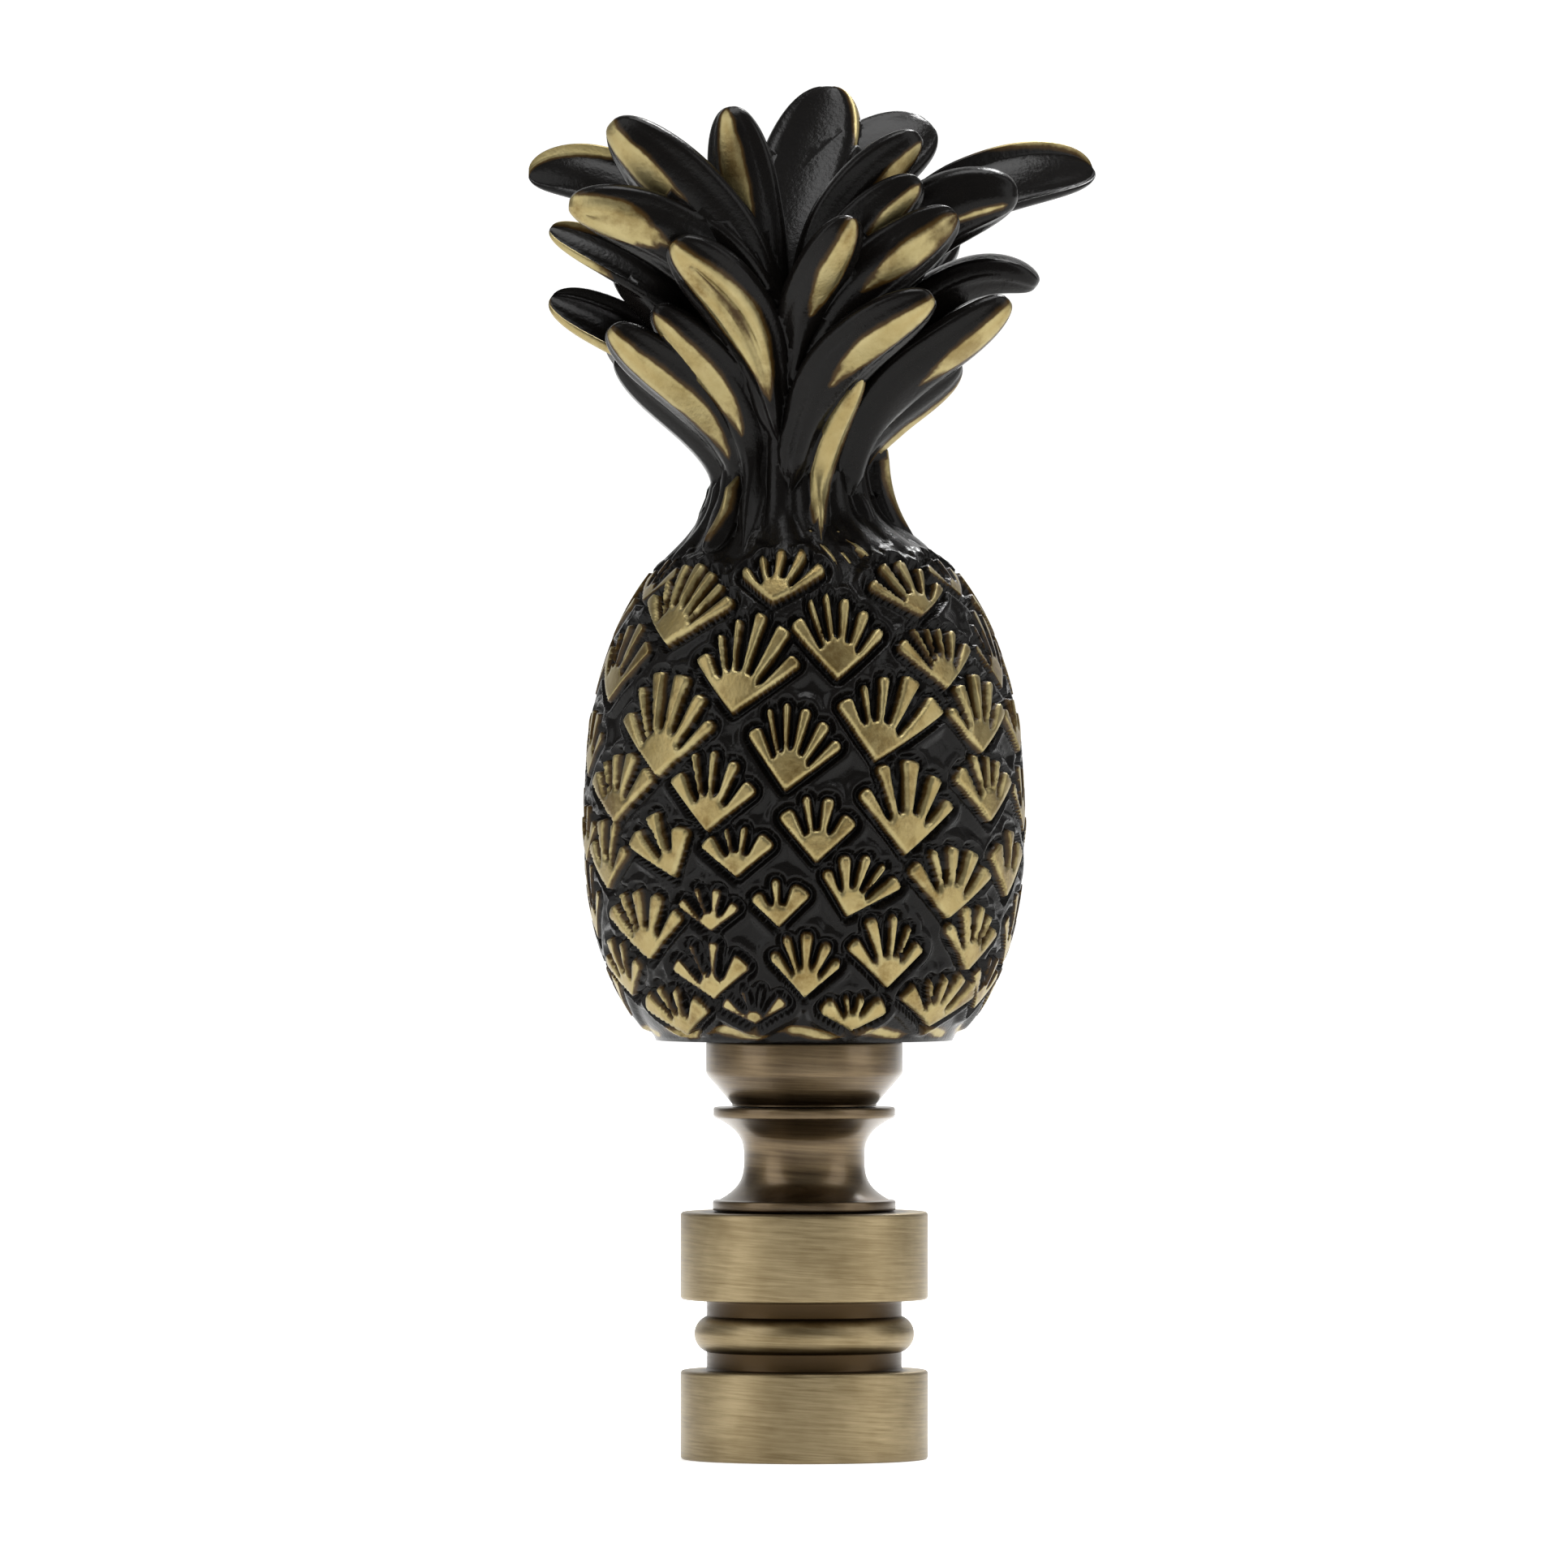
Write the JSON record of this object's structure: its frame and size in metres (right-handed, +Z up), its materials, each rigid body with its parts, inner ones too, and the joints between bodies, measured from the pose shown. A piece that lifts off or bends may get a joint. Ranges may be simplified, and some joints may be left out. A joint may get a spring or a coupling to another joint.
{
  "type": "pineapple lamp finial",
  "caption": "Cast brass pineapple with a fanned crown of leaves, on a turned cup, waisted neck and grooved foot that screws on to a lamp harp.",
  "frame": {"origin": "middle of the foot's underside, on the axis of its tapped hole", "axes": "+Z up along the axis of the foot, -Y towards the side that the picture shows, +X to that view's right"},
  "size_m": [0.0291, 0.0228, 0.0706],
  "materials": {
    "brushed_brass": "turned brass in an antique finish, finely brushed around",
    "dark_brass": "turned brass, darkened and lacquered smooth",
    "cast_brass": "cast brass with a near-black lacquered patina, rubbed bright on its ridges"
  },
  "bodies": {
    "root": {"threaded_base": "brushed_brass", "neck_spool": "dark_brass", "cup_collar": "dark_brass", "pineapple": "cast_brass"}
  },
  "joints": []
}
